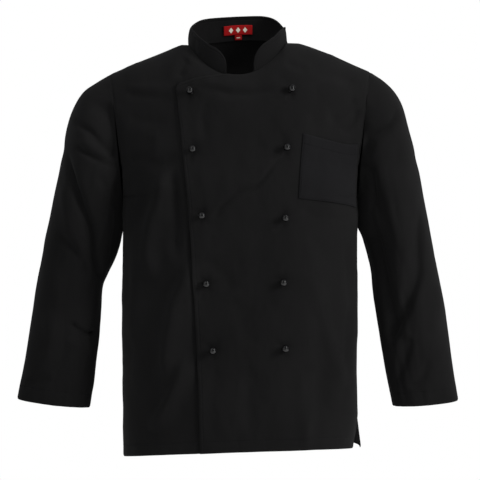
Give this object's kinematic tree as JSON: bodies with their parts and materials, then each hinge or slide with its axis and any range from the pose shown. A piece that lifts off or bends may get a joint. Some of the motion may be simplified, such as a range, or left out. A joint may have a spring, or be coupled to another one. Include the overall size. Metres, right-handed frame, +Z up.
{
  "type": "chef jacket",
  "caption": "Long-sleeved double-breasted kitchen jacket with stand collar, chest pocket, side vents and ball studs, filled out as worn and open at neck, hem and cuffs.",
  "frame": {"origin": "in the neck opening, level with the side neck points and on the line between the shoulder seams' inner ends, where the wearer's shoulders carry the jacket", "axes": "+Z up; the front faces -Y; +X is the wearer's left"},
  "size_m": [0.7955, 0.255, 0.7953],
  "materials": {
    "black_cloth": "matt black cotton twill",
    "pocket_cloth": "matt black cotton twill, a little bluer",
    "black_ball": "high gloss black",
    "red_label": "woven satin"
  },
  "bodies": {
    "root": {"back": "black_cloth", "right_front": "black_cloth", "left_front": "black_cloth", "right_sleeve": "black_cloth", "left_sleeve": "black_cloth", "collar": "black_cloth", "chest_pocket": "pocket_cloth", "button_right_1": "black_ball", "button_left_1": "black_ball", "button_right_2": "black_ball", "button_left_2": "black_ball", "button_right_3": "black_ball", "button_left_3": "black_ball", "button_right_4": "black_ball", "button_left_4": "black_ball", "button_right_5": "black_ball", "button_left_5": "black_ball", "neck_label": "red_label", "size_tab": "red_label"}
  },
  "joints": []
}
